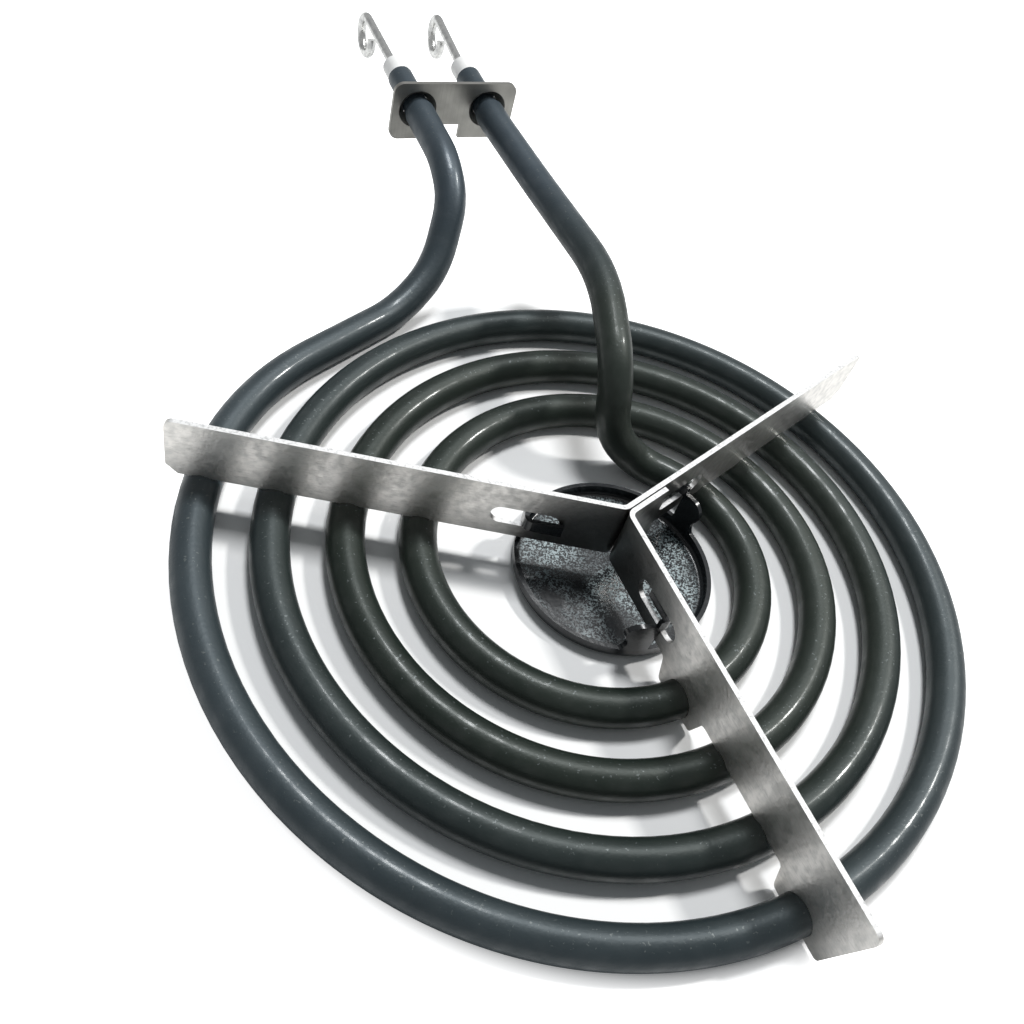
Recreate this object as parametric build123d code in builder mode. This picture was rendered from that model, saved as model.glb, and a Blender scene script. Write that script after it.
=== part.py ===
"""Plug-in surface heating element: a four-turn sheathed coil with its terminals,
spacer plate, three-arm support bracket and centre medallion.

It lies on its flattened heating face (z = 0), so its underside and bracket look up.
The origin is the middle of the coil on that face, and the terminals point along +Y.
All sizes are in millimetres and degrees."""
import os
from math import cos, radians, sin, tan

from build123d import *

os.makedirs("parts", exist_ok=True)

# ---- sheath -------------------------------------------------------------------
tube_od = 6.6
flat_depth = 0.4            # how far the heating face is pressed into the round tube
coil_pitch = 12.3
outer_turn_radius = 67.6    # centre line of the outermost half turn
half_turns = 7
lead_angle = 151.0          # where the outermost half turn begins, seen from above
last_arc = 74.0             # length of the innermost arc, where the inner leg leaves
fit = 0.05                  # clearance wherever one piece passes through another

# ---- legs and terminals ---------------------------------------------------------
leg_rise = 18.1             # height of the terminals over the coil's centre line
outer_leg_x = -1.75
leg_spacing = 16.5
lead_bend_radius = 56.0     # flat bend that carries the outermost turn out to its leg
lead_bend_angle = 34.5
outer_leg_foot = 23.0       # from the flat bend to the corner where the leg starts to rise
outer_leg_corners = ((-7.6, 74.5, 4.6), (-2.3, 83.9, 14.2))   # x, y, height over the coil
outer_leg_level_y = 92.7    # from this corner on, the outer leg is level
outer_leg_bends = (20.0, 18.0, 22.0, 30.0)                    # from the terminal to the coil
inner_leg_foot = 5.5
inner_leg_corners = ((9.6, 22.7, 6.1), (10.0, 28.8, 17.9), (15.6, 49.2, 21.4), (16.1, 84.0, 17.9))
inner_leg_bends = (8.0, 11.0, 13.0, 49.0, 150.0, 60.0)        # from the coil to the terminal
level_tail = 5.5            # last stretch of the inner leg, level and square to the plate
stub_od = 5.7
stub_wall = 0.6
shoulder_length = 1.6       # cone between the full tube and the reduced stub
stub_length = 12.4          # reduced end, measured from the plate's front face

# ---- terminal plate ---------------------------------------------------------------
plate_y = 110.6
plate_width = 28.7
plate_height = 13.2
plate_thickness = 0.9
plate_corner = 2.2
plate_drop = 0.55           # the plate's middle lies this much under the stubs' axes
plate_offset = 0.25         # and this much to the right of the middle between them
collar_mouth = 8.6
collar_length = 1.6
notch_width = 4.2
notch_depth = 3.4

# ---- bushings, seals and terminal pins ----------------------------------------------
bushing_od = 5.2
bushing_length = 5.7
bushing_edge = 0.8          # chamfer round the bushing's outer end
spigot_length = 2.5
seal_length = 2.0
pin_diameter = 2.1
pin_reach = 9.0             # how far a pin runs back into the leg from the plate
eye_radius = 4.0            # centre line of the hooked eye
eye_offset = 19.4           # from the bushing's face to the middle of the eye
eye_wrap = 285.0
eye_splay = {"outer": 0.0, "inner": 4.0}   # how far each pin leans to the right
splay_bend = 8.0            # radius of that lean, at the bushing

# ---- bracket -----------------------------------------------------------------------
strip_thickness = 0.9
strip_top = 18.0
strip_seat = 0.4            # depth of the saddles that rest on the tube
left_arm_angle = 154.8
right_arm_angle = 21.6
front_arm_angle = 272.45
left_arm_reach = 76.4
right_arm_reach = 72.8
front_arm_reach = 75.4
left_arm_shift = -0.9       # each arm's middle plane, measured from the coil's axis
right_arm_shift = 0.0
front_arm_shift = 1.05
strip_bend = 1.6            # centre line radius of the folds
flange_reach = 8.2
fold_run = 6.0              # length of front arm drawn together with the flange's fold
flange_gap = 0.25
slot_length = 12.0
slot_height = 4.0
slot_inset = 1.6            # from the medallion's edge in to the middle of its slots
slot_axis = 10.75
ear_drop = 1.9              # the ears reach this much under the coil's centre line
ear_foot = 5.2
ear_root = 6.6
ear_round = 0.9
end_slant = 2.9             # the front arm's end leans in by this much
end_chamfer = 2.0
end_round = 1.6

# ---- medallion -----------------------------------------------------------------------
medallion_margin = 3.05     # between the medallion's radius and the innermost turn's inside
medallion_middle = (1.0, -1.3, 0)   # measured from the coil's axis
medallion_sheet = 0.8
rim_top = 3.0
rim_round = 1.6             # outside radius between the medallion's floor and its rim
tab_foot = 7.4              # how far from its arm a tab starts to rise from the rim
tab_head = 3.2              # and where it has risen
tab_neck_height = 2.4
tab_end = 6.4               # length of the end folded over behind the arm
tab_gap = 0.35              # clearance between a tab and its arm
tab_bend = 1.0              # centre line radius of its fold

# ---- places worked out from the sizes ---------------------------------------------------
tube_radius = tube_od / 2
axis_height = tube_radius - flat_depth
tube_top = axis_height + tube_radius
strip_bottom = tube_top - strip_seat
leg_height = axis_height + leg_rise
inner_leg_x = outer_leg_x + leg_spacing


def polar(radius, angle):
    """A horizontal vector of the given length and direction."""
    return Vector(radius * cos(radians(angle)), radius * sin(radians(angle)), 0)


def turn_centre(number):
    """Centre of a half turn: the centres step to and fro by half the pitch."""
    side = 1 if number % 2 == 0 else -1
    return polar(side * coil_pitch / 4, lead_angle) + Vector(0, 0, axis_height)


def turn_radius(number):
    return outer_turn_radius - number * coil_pitch / 2


medallion_radius = turn_radius(half_turns) - tube_radius - medallion_margin
slot_middle = medallion_radius - slot_inset

lead_start = turn_centre(0) + polar(turn_radius(0), lead_angle)
lead_heading = lead_angle - 90
lead_centre = lead_start + polar(lead_bend_radius, lead_heading - 90)
lead_end = lead_centre + polar(lead_bend_radius, lead_heading + 90 - lead_bend_angle)
outer_foot = lead_end + polar(outer_leg_foot, lead_heading - lead_bend_angle)
outer_level = Vector(outer_leg_x, outer_leg_level_y, leg_height)
outer_exit = Vector(outer_leg_x, plate_y - shoulder_length, leg_height)

last_angle = lead_angle + 180 * half_turns + last_arc
coil_end = turn_centre(half_turns) + polar(turn_radius(half_turns), last_angle)
inner_foot = coil_end + polar(inner_leg_foot, last_angle + 90)
inner_tail = Vector(inner_leg_x, plate_y - level_tail, leg_height)
inner_exit = Vector(inner_leg_x, plate_y - shoulder_length, leg_height)


def over_coil(corners):
    """The corners of a leg, raised from the coil's centre line to the heating face."""
    return [Vector(*corner) + Vector(0, 0, axis_height) for corner in corners]


def rounded_run(points, radii):
    """Straight runs through the points, each corner rounded by a tangent arc."""
    start = points[0]
    for before, corner, after, radius in zip(points, points[1:], points[2:], radii):
        back = (before - corner).normalized()
        ahead = (after - corner).normalized()
        half = radians(back.get_angle(ahead) / 2)
        first = corner + back * (radius / tan(half))
        last = corner + ahead * (radius / tan(half))
        middle = corner + (back + ahead).normalized() * (radius / sin(half) - radius)
        Line(start, first)
        ThreePointArc(first, middle, last)
        start = last
    Line(start, points[-1])


# The element's centre line, from the outer terminal through the coil to the inner one.
with BuildLine() as element_line:
    rounded_run([outer_exit, outer_level, *reversed(over_coil(outer_leg_corners)), outer_foot, lead_end],
                outer_leg_bends)
    CenterArc(lead_centre, lead_bend_radius, lead_heading + 90 - lead_bend_angle, lead_bend_angle)
    for number in range(half_turns):
        CenterArc(turn_centre(number), turn_radius(number), lead_angle + 180 * number, 180)
    CenterArc(turn_centre(half_turns), turn_radius(half_turns), last_angle - last_arc, last_arc)
    rounded_run([coil_end, inner_foot, *over_coil(inner_leg_corners), inner_tail, inner_exit],
                inner_leg_bends)
element_path = element_line.wire()


def leg_axis_plane(leg_x):
    """Upright plane through a terminal's axis: its x runs outward, its y up."""
    return Plane(origin=(leg_x, plate_y, leg_height), x_dir=(0, 1, 0), z_dir=(1, 0, 0))


# ---- sheath ------------------------------------------------------------------------------
# The drawn-down tube, its compacted insulation and its wound wire can't be parted, so they
# are one solid, bored only at the ends for the pins, seals and bushings.
with BuildPart() as sheath:
    with BuildSketch(Plane(origin=element_path @ 0, z_dir=element_path % 0)):
        Circle(tube_radius)
    sweep(path=element_path)
    split(bisect_by=Plane.XY, keep=Keep.TOP)
    for leg_x in (outer_leg_x, inner_leg_x):
        with BuildSketch(leg_axis_plane(leg_x)):
            with BuildLine():
                Polyline((-shoulder_length, 0), (-shoulder_length, tube_radius), (0, stub_od / 2),
                         (stub_length, stub_od / 2), (stub_length, 0), close=True)
            make_face()
        axis = Axis((leg_x, plate_y, leg_height), (0, 1, 0))
        revolve(axis=axis)
        with BuildSketch(leg_axis_plane(leg_x)):
            with BuildLine():
                bore = stub_od / 2 - stub_wall
                mouth = stub_length - spigot_length - seal_length
                Polyline((-pin_reach, 0), (-pin_reach, pin_diameter / 2 + fit),
                         (mouth, pin_diameter / 2 + fit), (mouth, bore),
                         (stub_length, bore), (stub_length, 0), close=True)
            make_face()
        revolve(axis=axis, mode=Mode.SUBTRACT)
sheath.part.label = "sheath"
export_step(sheath.part, "parts/sheath.step")

# ---- terminals: pin with hooked eye, ceramic bushing and end seal, one set for each leg ------
for leg_name, leg_x in (("outer", outer_leg_x), ("inner", inner_leg_x)):
    upright = leg_axis_plane(leg_x)
    axis = Axis((leg_x, plate_y, leg_height), (0, 1, 0))
    bore = stub_od / 2 - stub_wall - fit
    through = pin_diameter / 2 + fit
    spigot_start = stub_length - spigot_length
    bushing_end = stub_length + bushing_length

    with BuildPart() as bushing:
        with BuildSketch(upright):
            with BuildLine():
                Polyline((spigot_start, through), (spigot_start, bore), (stub_length, bore),
                         (stub_length, bushing_od / 2),
                         (bushing_end - bushing_edge, bushing_od / 2),
                         (bushing_end, bushing_od / 2 - bushing_edge),
                         (bushing_end, through), close=True)
            make_face()
        revolve(axis=axis)
    bushing.part.label = leg_name + "_bushing"
    export_step(bushing.part, "parts/" + leg_name + "_bushing.step")

    with BuildPart() as seal:
        with BuildSketch(Plane(origin=(leg_x, plate_y + spigot_start, leg_height), z_dir=(0, -1, 0))):
            Circle(bore)
            Circle(through, mode=Mode.SUBTRACT)
        extrude(amount=seal_length)
    seal.part.label = leg_name + "_end_seal"
    export_step(seal.part, "parts/" + leg_name + "_end_seal.step")

    splay = radians(eye_splay[leg_name])
    face = Vector(leg_x, plate_y + bushing_end, leg_height)
    heading = Vector(sin(splay), cos(splay), 0)
    eye_top = face + heading * eye_offset
    rounds = [eye_top + Vector(0, 0, eye_radius * (cos(angle) - 1)) + heading * (eye_radius * sin(angle))
              for angle in (radians(eye_wrap) / 2, radians(eye_wrap))]
    with BuildPart() as pin:
        with BuildLine() as pin_line:
            inner_end = Vector(leg_x, plate_y + fit - pin_reach, leg_height)
            if splay:
                rounded_run([inner_end, face, eye_top], [splay_bend])
            else:
                Line(inner_end, eye_top)
            ThreePointArc(eye_top, *rounds)
        with BuildSketch(Plane(origin=inner_end, z_dir=(0, 1, 0))):
            Circle(pin_diameter / 2)
        sweep(path=pin_line.wire())
    pin.part.label = leg_name + "_terminal_pin"
    export_step(pin.part, "parts/" + leg_name + "_terminal_pin.step")

# ---- terminal plate: a thin stamping with a funnel-shaped collar round each stub --------------
plate_middle = (outer_leg_x + leg_spacing / 2 + plate_offset, leg_height - plate_drop)
with BuildPart() as terminal_plate:
    with BuildSketch(Plane(origin=(plate_middle[0], plate_y, plate_middle[1]),
                           x_dir=(1, 0, 0), z_dir=(0, -1, 0))) as plate_outline:
        Rectangle(plate_width, plate_height)
        fillet(plate_outline.vertices(), radius=plate_corner)
        with Locations((0, -plate_height / 2)):
            Rectangle(notch_width, 2 * notch_depth, mode=Mode.SUBTRACT)
    extrude(amount=-plate_thickness)
    for leg_x in (outer_leg_x, inner_leg_x):
        neck = stub_od / 2 + fit
        end = plate_thickness + collar_length
        with BuildSketch(leg_axis_plane(leg_x)):
            with BuildLine():
                Polyline((plate_thickness, 0), (plate_thickness, collar_mouth / 2),
                         (end, neck + plate_thickness), (end, 0), close=True)
            make_face()
        axis = Axis((leg_x, plate_y, leg_height), (0, 1, 0))
        revolve(axis=axis)
        with BuildSketch(leg_axis_plane(leg_x)):
            with BuildLine():
                Polyline((0, 0), (0, collar_mouth / 2), (end - plate_thickness, neck), (end, neck),
                         (end, 0), close=True)
            make_face()
        revolve(axis=axis, mode=Mode.SUBTRACT)
terminal_plate.part.label = "terminal_plate"
export_step(terminal_plate.part, "parts/terminal_plate.step")


# ---- support bracket: two folded strips standing on edge ---------------------------------------
def arm_plane(angle, shift):
    """Middle plane of an arm: its x runs outward along the arm, its y up."""
    side = polar(shift, angle - 90)
    return Plane(origin=(side.X, side.Y, 0), x_dir=polar(1, angle), z_dir=polar(1, angle - 90))


def crossings(arm, angle):
    """Distances along an arm at which it crosses the turns, each with its turn's centre."""
    found = []
    for number in range(half_turns + 1):
        first = lead_angle + 180 * number
        length = last_arc if number == half_turns else 180
        if (angle - first) % 360 < length:
            middle = turn_centre(number)
            local = arm.to_local_coords(middle)
            found.append((local.X + (turn_radius(number) ** 2 - local.Z ** 2) ** 0.5, middle))
    return found


def seat_planes(arm, angle):
    """Planes square to the turns where an arm crosses them, centred on the tube."""
    planes = []
    for distance, middle in crossings(arm, angle):
        seat = arm.from_local_coords((distance, axis_height, 0))
        planes.append(Plane(origin=seat, z_dir=(seat - middle).cross(Vector(0, 0, 1))))
    return planes


def meeting(first, second):
    """The point at which two arms' middle planes cross, on the level z = 0."""
    start = second.to_local_coords(first.origin)
    ahead = second.to_local_coords(first.origin + first.x_dir)
    return first.origin + first.x_dir * (-start.Z / (ahead.Z - start.Z))


left_arm = arm_plane(left_arm_angle, left_arm_shift)
right_arm = arm_plane(right_arm_angle, right_arm_shift)
front_arm = arm_plane(front_arm_angle, front_arm_shift)
strip_height = strip_top - strip_bottom
seat_cut = 4 * strip_thickness

with BuildPart() as long_strip:
    fold = meeting(left_arm, right_arm)
    with BuildSketch(Plane.XY.offset(strip_bottom)):
        with BuildLine():
            FilletPolyline(left_arm.from_local_coords((left_arm_reach, 0, 0)), fold,
                           right_arm.from_local_coords((right_arm_reach, 0, 0)), radius=strip_bend)
        trace(line_width=strip_thickness)
    extrude(amount=strip_height)
    ends = long_strip.edges().filter_by(lambda edge: abs(edge.length - strip_thickness) < 0.01)
    lower = ends.group_by(Axis.Z)[0]
    upper = ends.group_by(Axis.Z)[-1]
    chamfer(lower, length=end_chamfer)
    fillet(upper, radius=end_round)
    with BuildSketch(*seat_planes(left_arm, left_arm_angle), *seat_planes(right_arm, right_arm_angle)):
        Circle(tube_radius + fit)
    extrude(amount=seat_cut, both=True, mode=Mode.SUBTRACT)
    with BuildSketch(left_arm, right_arm):
        with Locations((slot_middle, slot_axis)):
            SlotOverall(slot_length, slot_height)
    extrude(amount=strip_thickness, both=True, mode=Mode.SUBTRACT)
long_strip.part.label = "long_bracket_strip"
export_step(long_strip.part, "parts/long_bracket_strip.step")

flange_plane = arm_plane(right_arm_angle, right_arm_shift + strip_thickness + flange_gap)
with BuildPart() as short_strip:
    corner = meeting(front_arm, flange_plane)
    ears = [distance for distance, middle in crossings(front_arm, front_arm_angle)]
    inner_ear, outer_ear = min(ears), max(ears)
    ear_bottom = axis_height - ear_drop
    with BuildSketch(Plane.XY.offset(strip_bottom)):
        with BuildLine():
            FilletPolyline(front_arm.from_local_coords((fold_run, 0, 0)), corner,
                           flange_plane.from_local_coords((flange_reach, 0, 0)), radius=strip_bend)
        trace(line_width=strip_thickness)
    extrude(amount=strip_height)
    with BuildSketch(front_arm) as front_profile:
        with BuildLine():
            Polyline((fold_run, strip_bottom), (inner_ear - ear_root, strip_bottom),
                     (inner_ear - ear_foot, ear_bottom), (inner_ear + ear_foot, ear_bottom),
                     (inner_ear + ear_root, strip_bottom), (outer_ear - ear_root, strip_bottom),
                     (outer_ear - ear_foot, ear_bottom),
                     (front_arm_reach - end_slant, ear_bottom), (front_arm_reach, strip_top),
                     (fold_run, strip_top), close=True)
        make_face()
        corners = front_profile.vertices().filter_by(lambda v: v.X > fold_run + ear_round)
        fillet(corners.filter_by(lambda v: v.Y <= strip_bottom), radius=ear_round)
        fillet(front_profile.vertices().sort_by(Axis.X)[-1], radius=end_round)
    extrude(amount=strip_thickness / 2, both=True)
    with BuildSketch(*seat_planes(front_arm, front_arm_angle)):
        Circle(tube_radius + fit)
    extrude(amount=seat_cut, both=True, mode=Mode.SUBTRACT)
    with BuildSketch(front_arm):
        with Locations((slot_middle, slot_axis)):
            SlotOverall(slot_length, slot_height)
    extrude(amount=strip_thickness, both=True, mode=Mode.SUBTRACT)
short_strip.part.label = "short_bracket_strip"
export_step(short_strip.part, "parts/short_bracket_strip.step")

# ---- medallion: a shallow cup whose rim rises in three tabs through the arms' slots --------------
neck_bottom = slot_axis - slot_height / 2 + tab_gap
neck_top = neck_bottom + tab_neck_height
tab_side = strip_thickness / 2 + tab_gap
wall_radius = medallion_radius - medallion_sheet / 2
medallion_plane = Plane(origin=medallion_middle)
arms = (left_arm, right_arm, front_arm)
# Seen along each arm from outside: x is the distance to the clockwise side of the arm.
tab_planes = [Plane(origin=arm.from_local_coords((2 * medallion_radius, 0, 0)),
                    x_dir=arm.z_dir, z_dir=-arm.x_dir) for arm in arms]

with BuildPart() as medallion:
    with BuildSketch(medallion_plane):
        Circle(medallion_radius)
        Circle(medallion_radius - medallion_sheet, mode=Mode.SUBTRACT)
    extrude(amount=neck_top)
    with BuildSketch(*tab_planes):
        with BuildLine():
            risen = (tab_head, neck_bottom + medallion_sheet)
            foot = (tab_foot, rim_top - rim_round / 2)
            halfway = ((risen[0] + foot[0]) / 2, (risen[1] + foot[1]) / 2)
            rise = TangentArc(foot, halfway, tangent=(-1, 0))
            TangentArc(halfway, risen, tangent=rise % 1)
            Polyline(risen, (tab_side, risen[1]), (tab_side, foot[1]), foot)
        make_face()
    extrude(amount=2 * medallion_radius, mode=Mode.INTERSECT)
    for arm in arms:
        middle = arm.to_local_coords(Vector(*medallion_middle))
        out = middle.X + (wall_radius ** 2 - middle.Z ** 2) ** 0.5
        near = tab_side + medallion_sheet / 2
        with BuildSketch(Plane.XY.offset(neck_bottom)):
            with BuildLine():
                FilletPolyline(arm.from_local_coords((out, 0, near)),
                               arm.from_local_coords((out, 0, -near)),
                               arm.from_local_coords((out - tab_end, 0, -near)), radius=tab_bend)
            trace(line_width=medallion_sheet)
        extrude(amount=tab_neck_height)
    with BuildSketch(Plane(origin=medallion_middle, x_dir=(1, 0, 0), z_dir=(0, -1, 0))):
        with BuildLine():
            inside = medallion_radius - medallion_sheet
            Polyline((inside, rim_top), (medallion_radius, rim_top),
                     (medallion_radius, rim_round))
            CenterArc((medallion_radius - rim_round, rim_round), rim_round, 0, -90)
            Polyline((medallion_radius - rim_round, 0), (0, 0), (0, medallion_sheet),
                     (medallion_radius - rim_round, medallion_sheet))
            CenterArc((medallion_radius - rim_round, rim_round),
                      rim_round - medallion_sheet, -90, 90)
            Line((inside, rim_round), (inside, rim_top))
        make_face()
    revolve(axis=Axis(medallion_middle, (0, 0, 1)))
medallion.part.label = "medallion"
export_step(medallion.part, "parts/medallion.step")
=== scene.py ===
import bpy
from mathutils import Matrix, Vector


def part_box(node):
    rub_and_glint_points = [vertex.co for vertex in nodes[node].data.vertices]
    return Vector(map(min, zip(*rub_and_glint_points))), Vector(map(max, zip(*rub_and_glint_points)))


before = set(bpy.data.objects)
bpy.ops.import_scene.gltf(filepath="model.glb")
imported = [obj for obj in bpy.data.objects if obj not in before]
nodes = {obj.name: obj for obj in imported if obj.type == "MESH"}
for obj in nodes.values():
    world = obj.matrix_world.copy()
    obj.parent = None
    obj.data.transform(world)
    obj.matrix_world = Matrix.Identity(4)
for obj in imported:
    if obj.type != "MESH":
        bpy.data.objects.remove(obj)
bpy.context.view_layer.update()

# %% [markdown]
# The part is a plug-in surface element that lies upside down, with its bracket and terminals up.
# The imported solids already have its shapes, so no piece is modelled here: the script adds a
# camera, lamps, a room, a floor and a finish for each piece. Places are in metres, in the
# solids' own frame: the coil's middle is the origin, the heating face is z = 0 and the
# terminals point along +Y. The solids arrive selected, and an operator acts on all that is
# selected, so they are deselected first.

scene = bpy.context.scene
bpy.ops.object.select_all(action="DESELECT")
scene.view_settings.view_transform = "Standard"
print("nodes:", sorted(nodes))

# %% [markdown]
# The camera stands 15 cm above the floor and 5 cm outside the coil's near left edge. It is
# given by its place, by the way it looks and by the way that is up in its picture. The two
# directions are made square to each other here, because slanted axes would squash the picture.
# The small shift stands for a picture that was cut a little off centre.

# %% Camera
camera_place = Vector((-0.08564, -0.08536, 0.14507))
looks_along = Vector((0.3974, 0.5156, -0.7591)).normalized()
picture_up = Vector((0.1618, 0.7749, 0.6110))
camera_back = -looks_along
camera_right = picture_up.cross(camera_back).normalized()
camera_up = camera_back.cross(camera_right)
camera_axes = Matrix((camera_right, camera_up, camera_back)).transposed().to_4x4()
camera_data = bpy.data.cameras.new("camera")
camera_data.sensor_width = 36.0
camera_data.lens = 36.69
camera_data.shift_x = -0.0138
camera_data.shift_y = 0.0065
camera_data.clip_start = 0.005
camera = bpy.data.objects.new("camera", camera_data)
camera.matrix_world = Matrix.Translation(camera_place) @ camera_axes
scene.collection.objects.link(camera)
scene.camera = camera
print("camera looks along", tuple(round(v, 3) for v in looks_along))

# %% [markdown]
# Two lamps of equal power light the part. The key lamp is small and stands far out on the
# right, so it draws the arms' shadows out over the floor and a narrow bright line along each
# tube. The top lamp is broader and stands higher, towards the back, so it gives the soft sheen.
# The floor is dark only where both are hidden, beside the tubes and below the left arm. A dim
# room fills the rest.

# %% Lamps
def area_lamp(name, place, size, power, colour):
    """Adds a square lamp that faces the coil."""
    data = bpy.data.lights.new(name, "AREA")
    data.shape = "SQUARE"
    data.size = size
    data.energy = power
    data.color = colour
    lamp = bpy.data.objects.new(name, data)
    lamp.location = place
    lamp.rotation_euler = (-Vector(place)).to_track_quat("-Z", "Y").to_euler()
    scene.collection.objects.link(lamp)


lamp_power = 12.0
area_lamp("key_lamp", (0.98, 0.12, 1.15), size=0.13, power=lamp_power, colour=(1.0, 0.99, 0.97))
area_lamp("top_lamp", (0.26, 0.44, 1.25), size=0.32, power=lamp_power, colour=(0.97, 0.985, 1.0))

# %% [markdown]
# Lamps are simple, but the room and the finishes are made of nodes. Two helpers keep them
# short: one feeds a node's input, whatever comes into it, and one adds a Math node.

# %% Node helpers
def feed(socket, value):
    """Gives a node's input a number, a colour or another node's output."""
    if isinstance(value, bpy.types.NodeSocket):
        socket.id_data.links.new(value, socket)
    elif isinstance(value, tuple):
        socket.default_value = (*value, 1)
    else:
        socket.default_value = value


def calculate(tree, operation, *values):
    """Adds a Math node, feeds its inputs in their order and returns its result."""
    node = tree.nodes.new("ShaderNodeMath")
    node.operation = operation
    for socket, value in zip(node.inputs, values):
        feed(socket, value)
    return node.outputs[0]


print("node helpers ready")

# %% [markdown]
# The world gives the room's dim light. To the camera itself it is plain white, so that a low
# view shows a white backdrop behind the floor's edge. Bright metal mirrors that backdrop too.
# It stands behind the part and not all round it, so mirrors see the white at a third.

# %% Room
white = (1.0, 1.0, 1.0)
mirror_share = 0.33
world = bpy.data.worlds.new("room")
scene.world = world
world.use_nodes = True
room = world.node_tree
room_light = room.nodes["Background"]
feed(room_light.inputs["Color"], (0.88, 0.95, 1.0))
feed(room_light.inputs["Strength"], 0.17)
backdrop = room.nodes.new("ShaderNodeBackground")
feed(backdrop.inputs["Color"], white)
ray = room.nodes.new("ShaderNodeLightPath")
mirrored = calculate(room, "MAXIMUM", ray.outputs["Is Glossy Ray"], ray.outputs["Is Transmission Ray"])
white_share = calculate(room, "MULTIPLY_ADD", mirrored, mirror_share, ray.outputs["Is Camera Ray"])
choose = room.nodes.new("ShaderNodeMixShader")
feed(choose.inputs["Fac"], white_share)
feed(choose.inputs[1], room_light.outputs[0])
feed(choose.inputs[2], backdrop.outputs[0])
feed(room.nodes["World Output"].inputs["Surface"], choose.outputs[0])
print("room strength", round(room_light.inputs["Strength"].default_value, 3))

# %% [markdown]
# A finish starts as a Principled shader with object coordinates, which stay fixed to the piece
# from every side. How far a surface point is from the middle often decides its look, so one
# helper measures that, and another turns it, or any mask, into the number that is wanted.

# %% Finish helpers
def new_finish(name):
    """Makes a material and returns it with its node tree, its shader and its coordinates."""
    material = bpy.data.materials.new(name)
    material.use_nodes = True
    tree = material.node_tree
    place = tree.nodes.new("ShaderNodeTexCoord")
    return material, tree, tree.nodes["Principled BSDF"], place.outputs["Object"]


def distance(tree, vector):
    """Measures how far a point is from the origin of its coordinates."""
    reach = tree.nodes.new("ShaderNodeVectorMath")
    reach.operation = "LENGTH"
    feed(reach.inputs[0], vector)
    return reach.outputs["Value"]


def run_value(tree, factor, first, last, start=0.0, end=1.0):
    """Runs a number from first to last while the factor goes from start to end."""
    ramp = tree.nodes.new("ShaderNodeMapRange")
    feed(ramp.inputs["Value"], factor)
    feed(ramp.inputs["From Min"], start)
    feed(ramp.inputs["From Max"], end)
    feed(ramp.inputs["To Min"], first)
    feed(ramp.inputs["To Max"], last)
    return ramp.outputs["Result"]


print("finish helpers ready")

# %% [markdown]
# The floor is a plain white table top. Pictures for a shop are usually cut out along the
# object's outline, which leaves the shadows inside the coil and hardly any outside it. A glow
# that only the camera sees does the same here: it starts under the outermost turn and lifts
# the floor to white, and it throws no light on the part.

# %% Floor
floor_width = 6.0
glow_start = 0.069
glow_full = 0.0725
glow_strength = 0.9
bpy.ops.mesh.primitive_plane_add(size=floor_width, location=(0, 0, 0))
floor = bpy.context.object
floor.name = "floor"
bpy.ops.object.select_all(action="DESELECT")
floor_white, tree, shader, place = new_finish("floor_white")
feed(shader.inputs["Base Color"], (0.94, 0.94, 0.935))
feed(shader.inputs["Roughness"], 0.7)
feed(shader.inputs["Specular IOR Level"], 0.15)
feed(shader.inputs["Emission Color"], white)
from_middle = distance(tree, place)
glow = run_value(tree, from_middle, first=0.0, last=glow_strength, start=glow_start, end=glow_full)
ray = tree.nodes.new("ShaderNodeLightPath")
seen_glow = calculate(tree, "MULTIPLY", glow, ray.outputs["Is Camera Ray"])
feed(shader.inputs["Emission Strength"], seen_glow)
floor.data.materials.append(floor_white)
print("floor ready, glow from", glow_start, "to", glow_full)

# %% [markdown]
# Effects that several finishes share are node groups, so that each is tuned in one place. The
# first gives a mottled mask from noise: its scale sets the grain, and its two limits say how
# much of the surface is covered and how sharp the patches' edges are.

# %% Mottle
def new_group(name, inputs):
    """Makes a node group with the given inputs and one output, Mask, and returns its parts."""
    group = bpy.data.node_groups.new(name, "ShaderNodeTree")
    for socket_name, value in inputs.items():
        kind = "NodeSocketVector" if value is None else "NodeSocketFloat"
        socket = group.interface.new_socket(socket_name, in_out="INPUT", socket_type=kind)
        if value is not None:
            socket.default_value = value
    group.interface.new_socket("Mask", in_out="OUTPUT", socket_type="NodeSocketFloat")
    return group, group.nodes.new("NodeGroupInput"), group.nodes.new("NodeGroupOutput")


mottle, source, out = new_group("mottle", {"Vector": None, "Scale": 40.0, "Low": 0.4, "High": 0.6})
noise = mottle.nodes.new("ShaderNodeTexNoise")
feed(noise.inputs["Vector"], source.outputs["Vector"])
feed(noise.inputs["Scale"], source.outputs["Scale"])
feed(noise.inputs["Detail"], 5.0)
patches = run_value(mottle, noise.outputs["Fac"], first=0.0, last=1.0,
                    start=source.outputs["Low"], end=source.outputs["High"])
feed(out.inputs["Mask"], patches)
print("group:", mottle.name)

# %% [markdown]
# Strip is rolled, which leaves fine lines along its length. The bracket's strips stand on edge,
# so lines along any arm are lines of equal height: the noise is drawn out level and squeezed
# in z, and no arm needs coordinates of its own.

# %% Rolling lines
rolling, source, out = new_group("rolling_lines", {"Vector": None, "Along": 60.0, "Across": 3000.0})
stretch = rolling.nodes.new("ShaderNodeCombineXYZ")
for axis_name, socket_name in (("X", "Along"), ("Y", "Along"), ("Z", "Across")):
    feed(stretch.inputs[axis_name], source.outputs[socket_name])
product = rolling.nodes.new("ShaderNodeVectorMath")
product.operation = "MULTIPLY"
feed(product.inputs[0], source.outputs["Vector"])
feed(product.inputs[1], stretch.outputs[0])
noise = rolling.nodes.new("ShaderNodeTexNoise")
feed(noise.inputs["Vector"], product.outputs[0])
feed(noise.inputs["Scale"], 1.0)
feed(noise.inputs["Detail"], 3.0)
feed(out.inputs["Mask"], noise.outputs["Fac"])
print("group:", rolling.name)

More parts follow.
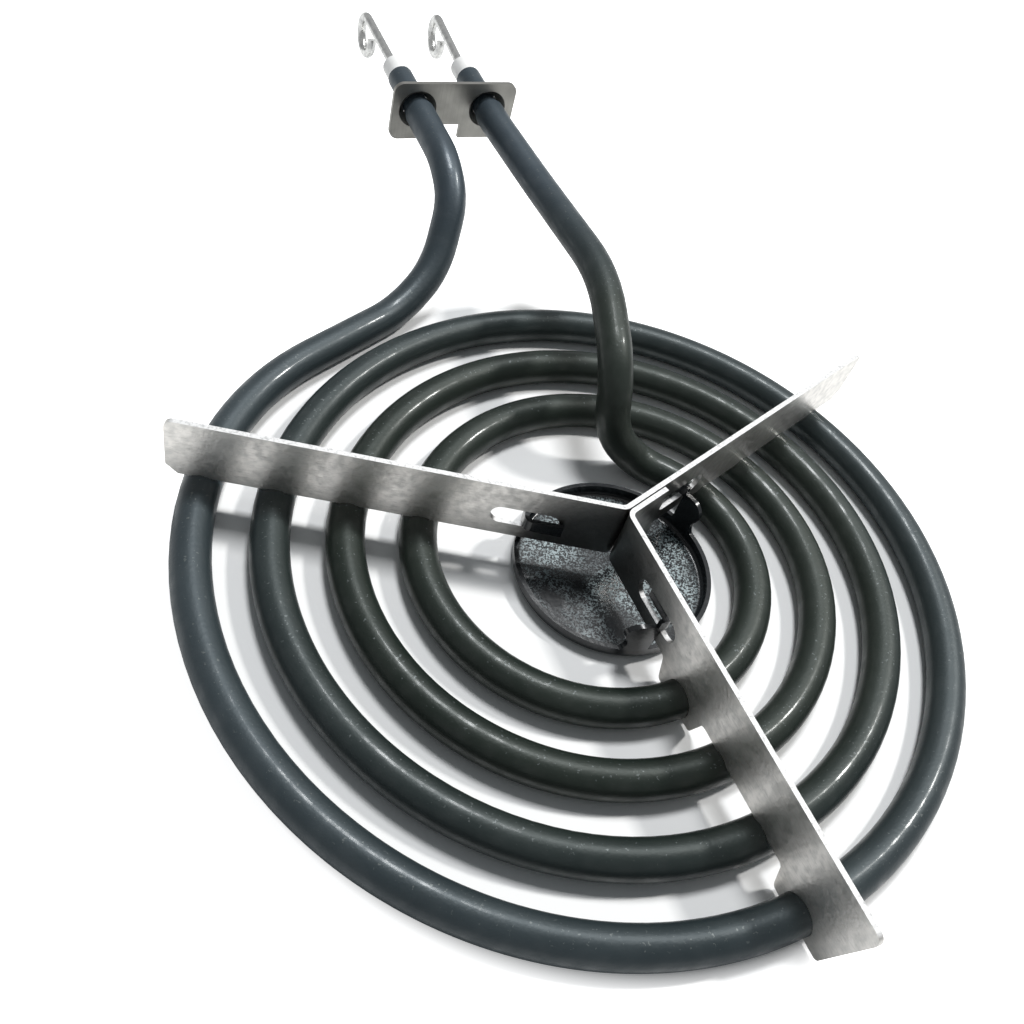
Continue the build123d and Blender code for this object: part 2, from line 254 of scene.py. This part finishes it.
# %% [markdown]
# Some finishes change where the surface faces up or down, such as a strip's cut edges. This
# group turns the surface's own direction into a mask for that.

# %% Level faces
level_faces, source, out = new_group("level_faces", {"Normal": None, "Low": 0.8, "High": 0.95})
split = level_faces.nodes.new("ShaderNodeSeparateXYZ")
feed(split.inputs[0], source.outputs["Normal"])
levelness = calculate(level_faces, "ABSOLUTE", split.outputs["Z"])
level = run_value(level_faces, levelness, first=0.0, last=1.0,
                  start=source.outputs["Low"], end=source.outputs["High"])
feed(out.inputs["Mask"], level)
print("group:", level_faces.name)

# %% [markdown]
# Now the groups can be used. These helpers place one in a finish with its own values, ask for
# the level faces, mix by a mask, and keep what is in two masks at once.

# %% Mask helpers
def mask(tree, group, vector, **values):
    """Places a group in a finish and returns its mask."""
    node = tree.nodes.new("ShaderNodeGroup")
    node.node_tree = group
    feed(node.inputs[0], vector)
    for socket_name, value in values.items():
        feed(node.inputs[socket_name], value)
    return node.outputs["Mask"]


def level_mask(tree, **limits):
    """Returns a mask of the faces that look up or down."""
    surface = tree.nodes.new("ShaderNodeNewGeometry")
    return mask(tree, level_faces, surface.outputs["True Normal"], **limits)


def mix(tree, factor, first, second, kind="RGBA"):
    """Mixes two colours, or two numbers if the kind is FLOAT."""
    node = tree.nodes.new("ShaderNodeMix")
    node.data_type = kind
    feed(node.inputs["Factor"], factor)
    feed(node.inputs["A"], first)
    feed(node.inputs["B"], second)
    return node.outputs["Result"]


def both(tree, first, second):
    """Multiplies two masks, so that the result is where both are."""
    return calculate(tree, "MULTIPLY", first, second)


print("mask helpers ready")

# %% [markdown]
# The last two helpers end a finish: one turns a mask into small bumps, and one puts the
# material on the solids that wear it. A solid keeps its mesh and only changes its material.

# %% Last helpers
def add_bumps(tree, shader, height, strength, depth=0.0001):
    """Turns a height into bumps, a tenth of a millimetre deep unless a depth is given."""
    bump = tree.nodes.new("ShaderNodeBump")
    feed(bump.inputs["Strength"], strength)
    feed(bump.inputs["Distance"], depth)
    feed(bump.inputs["Height"], height)
    feed(shader.inputs["Normal"], bump.outputs["Normal"])


def dress(material, *node_names):
    """Puts a finish on one or more solids."""
    for node_name in node_names:
        data = nodes[node_name].data
        data.materials.clear()
        data.materials.append(material)


print("last helpers ready")

# %% [markdown]
# The sheath is a nickel alloy that a furnace has oxidised to a dark satin. It is green-black in
# the coil's hot middle and turns lighter and bluer outwards: blue-grey along the legs, which stay
# cooler, and lighter in the outermost turn, which is painted haze of light. Its crest has sparse
# lighter points, partly rub wear and partly painted glints.

# %% Sheath colour
green_black = (0.009, 0.016, 0.012)
green_grey = (0.021, 0.029, 0.023)
slate = (0.037, 0.053, 0.066)
pale_slate = (0.060, 0.080, 0.097)
rub_wear_and_glint_grey = (0.10, 0.115, 0.115)
hot_reach = 0.050
cool_and_haze_reach = 0.085
oxide, tree, shader, place = new_finish("oxidised_alloy")
cloud = mask(tree, mottle, place, Scale=34.0, Low=0.3, High=0.7)
coil_tone = mix(tree, cloud, green_black, green_grey)
cool_and_hazy_tone = mix(tree, cloud, slate, pale_slate)
from_middle = distance(tree, place)
# Lighter and bluer outwards: the legs' cooler oxide, and painted haze of light on the outermost turn.
cooling_and_haze = run_value(tree, from_middle, first=0.0, last=1.0, start=hot_reach, end=cool_and_haze_reach)
tone = mix(tree, cooling_and_haze, coil_tone, cool_and_hazy_tone)
# Lighter points on the up-facing crest: partly rub wear, partly painted glints along the highlight.
crest = level_mask(tree, Low=0.80, High=0.92)
rub_and_glint_points = mask(tree, mottle, place, Scale=1700.0, Low=0.645, High=0.70)
tone = mix(tree, both(tree, crest, rub_and_glint_points), tone, rub_wear_and_glint_grey)
feed(shader.inputs["Base Color"], tone)
print("sheath turns cooler from", hot_reach, "to", cool_and_haze_reach)

# %% [markdown]
# The oxide is a thin glassy layer over the dull metal, so a faint coat carries a narrow bright
# line on top of the broad sheen. The coat is thicker in some places than in others, which
# breaks that line up, and fine grain under it breaks up the sheen.

# %% Sheath gloss
feed(shader.inputs["Roughness"], run_value(tree, cloud, first=0.40, last=0.50))
feed(shader.inputs["Metallic"], 0.3)
feed(shader.inputs["Specular IOR Level"], 0.42)
glassy = mask(tree, mottle, place, Scale=330.0, Low=0.44, High=0.70)
feed(shader.inputs["Coat Weight"], run_value(tree, glassy, first=0.05, last=0.40))
feed(shader.inputs["Coat Roughness"], 0.14)
grain = mask(tree, mottle, place, Scale=1800.0, Low=0.3, High=0.75)
add_bumps(tree, shader, grain, strength=0.17)
dress(oxide, "sheath")
print("sheath:", oxide.name)

# %% [markdown]
# The bracket is cold rolled steel strip. Its faces are stained, with a few faint rolling lines,
# and painted darker round the hub: a painted reflection of the black medallion.

# %% Bracket faces
pale_steel = (0.93, 0.90, 0.86)
stained_steel = (0.76, 0.745, 0.715)
line_grey = (0.40, 0.39, 0.37)
# Near-black for the painted reflection of the medallion on the strips round the hub.
painted_reflection_black = (0.045, 0.05, 0.055)
reflection_full_reach = 0.015
reflection_end_reach = 0.031
strip_steel, tree, shader, place = new_finish("rolled_strip")
stain = mask(tree, mottle, place, Scale=620.0, Low=0.40, High=0.64)
lines = mask(tree, rolling, place, Along=700.0, Across=2600.0)
faint_lines = run_value(tree, lines, first=0.0, last=0.35, start=0.52, end=0.76)
from_middle = distance(tree, place)
# Painted reflection: the faces darken towards the hub, where they would mirror the black medallion.
hub_reflection_mask = run_value(tree, from_middle, first=0.85, last=0.0, start=reflection_full_reach, end=reflection_end_reach)
face_tone = mix(tree, stain, pale_steel, stained_steel)
face_tone = mix(tree, faint_lines, face_tone, line_grey)
face_tone = mix(tree, hub_reflection_mask, face_tone, painted_reflection_black)
print("fumes reach", reflection_end_reach)

# %% [markdown]
# The strip's edges were sheared. They are duller and rougher than the satin faces, with pits
# where the metal tore. The long edges face up or down, so level_mask finds them.

# %% Bracket edges
sheared_steel = (0.72, 0.72, 0.715)
torn_steel = (0.44, 0.44, 0.44)
edge_roughness = 0.62
edge = level_mask(tree)
torn = mask(tree, mottle, place, Scale=1900.0, Low=0.48, High=0.72)
edge_tone = mix(tree, torn, sheared_steel, torn_steel)
feed(shader.inputs["Base Color"], mix(tree, edge, face_tone, edge_tone))
face_roughness = run_value(tree, stain, first=0.30, last=0.40)
feed(shader.inputs["Roughness"], mix(tree, edge, face_roughness, edge_roughness, kind="FLOAT"))
feed(shader.inputs["Metallic"], run_value(tree, edge, first=0.95, last=0.35))
grit = mask(tree, mottle, place, Scale=1500.0, Low=0.3, High=0.7)
add_bumps(tree, shader, grit, strength=0.16)
dress(strip_steel, "long_bracket_strip", "short_bracket_strip")
print("bracket:", strip_steel.name)

# %% [markdown]
# The medallion is enamelled sheet, a shallow cup in glossy black. Its inner floor is flecked
# with fine pale specks, as on a roasting tin. They stop short of the rim, so the area that has
# them is a disc round the cup's middle that is also level and low down.

# %% Medallion floor
fleck_reach = 0.0160
clear_reach = 0.0172
floor_top = 0.0009
wall_start = 0.0013
enamel, tree, shader, place = new_finish("flecked_enamel")
cup_low, cup_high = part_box("medallion")
cup_middle = [(low + high) / 2 for low, high in zip(cup_low, cup_high)]
centred = tree.nodes.new("ShaderNodeMapping")
centred.inputs["Location"].default_value = (-cup_middle[0], -cup_middle[1], 0)
feed(centred.inputs["Vector"], place)
from_middle = distance(tree, centred.outputs[0])
disc = run_value(tree, from_middle, first=1.0, last=0.0, start=fleck_reach, end=clear_reach)
split = tree.nodes.new("ShaderNodeSeparateXYZ")
feed(split.inputs[0], place)
low_down = run_value(tree, split.outputs["Z"], first=1.0, last=0.0, start=floor_top, end=wall_start)
level = level_mask(tree, Low=0.9, High=0.98)
print("medallion middle:", [round(v, 4) for v in cup_middle])

# %% [markdown]
# The specks are small mottle that larger mottle thins out in places. Where they are, the enamel
# is duller, and a soft ripple over all of it keeps its reflections from being a perfect mirror's.

# %% Medallion enamel
black_enamel = (0.007, 0.009, 0.011)
pale_speck = (0.30, 0.37, 0.385)
specks = mask(tree, mottle, place, Scale=3000.0, Low=0.48, High=0.58)
specks = both(tree, both(tree, specks, disc), both(tree, level, low_down))
thinned = mask(tree, mottle, place, Scale=110.0, Low=0.36, High=0.62)
specks = both(tree, specks, thinned)
feed(shader.inputs["Base Color"], mix(tree, specks, black_enamel, pale_speck))
feed(shader.inputs["Roughness"], run_value(tree, specks, first=0.24, last=0.5))
ripple = mask(tree, mottle, place, Scale=420.0, Low=0.2, High=0.8)
add_bumps(tree, shader, ripple, strength=0.45)
dress(enamel, "medallion")
print("medallion:", enamel.name)

# %% [markdown]
# The terminal plate is thin plated sheet, slightly warm in tone. Handling has left dull patches
# on it, and rolling has left streaks.

# %% Terminal plate
bright_plating = (0.34, 0.335, 0.31)
dull_plating = (0.24, 0.235, 0.22)
streak_grey = (0.26, 0.25, 0.24)
plated, tree, shader, place = new_finish("plated_sheet")
dull = mask(tree, mottle, place, Scale=150.0, Low=0.3, High=0.7)
lines = mask(tree, rolling, place, Along=2200.0, Across=90.0)
streaks = run_value(tree, lines, first=0.0, last=0.5, start=0.5, end=0.75)
tone = mix(tree, dull, bright_plating, dull_plating)
feed(shader.inputs["Base Color"], mix(tree, streaks, tone, streak_grey))
feed(shader.inputs["Roughness"], run_value(tree, dull, first=0.30, last=0.46))
feed(shader.inputs["Metallic"], 0.95)
add_bumps(tree, shader, lines, strength=0.15)
dress(plated, "terminal_plate")
print("plate:", plated.name)

# %% [markdown]
# The pins are drawn nickel, bright and smooth, with faint marks from the tools that bent their
# eyes.

# %% Pins
bright_nickel = (0.76, 0.76, 0.74)
marked_nickel = (0.44, 0.44, 0.44)
pin_nickel, tree, shader, place = new_finish("drawn_nickel")
marks = mask(tree, mottle, place, Scale=700.0, Low=0.35, High=0.7)
feed(shader.inputs["Base Color"], mix(tree, marks, bright_nickel, marked_nickel))
feed(shader.inputs["Roughness"], run_value(tree, marks, first=0.20, last=0.38))
feed(shader.inputs["Metallic"], 1.0)
add_bumps(tree, shader, marks, strength=0.3)
dress(pin_nickel, "outer_terminal_pin", "inner_terminal_pin")
print("pins:", pin_nickel.name)

# %% [markdown]
# The bushings are steatite, a white ceramic that is fired without glaze, so it is matte with a
# faint grain.

# %% Bushings
white_ceramic = (0.93, 0.925, 0.91)
grey_ceramic = (0.85, 0.845, 0.83)
steatite, tree, shader, place = new_finish("steatite")
grain = mask(tree, mottle, place, Scale=600.0, Low=0.3, High=0.75)
feed(shader.inputs["Base Color"], mix(tree, grain, white_ceramic, grey_ceramic))
feed(shader.inputs["Roughness"], run_value(tree, grain, first=0.45, last=0.6))
add_bumps(tree, shader, grain, strength=0.2)
dress(steatite, "outer_bushing", "inner_bushing")
print("bushings:", steatite.name)

# %% [markdown]
# Behind each bushing sits a brick-red seal of poured resin, which only shows if the bushing is
# taken off.

# %% End seals
brick_red = (0.36, 0.13, 0.09)
pale_brick = (0.48, 0.20, 0.14)
seal_resin, tree, shader, place = new_finish("seal_resin")
grain = mask(tree, mottle, place, Scale=500.0, Low=0.3, High=0.75)
feed(shader.inputs["Base Color"], mix(tree, grain, brick_red, pale_brick))
feed(shader.inputs["Roughness"], run_value(tree, grain, first=0.5, last=0.65))
dress(seal_resin, "outer_end_seal", "inner_end_seal")
print("seals:", seal_resin.name)
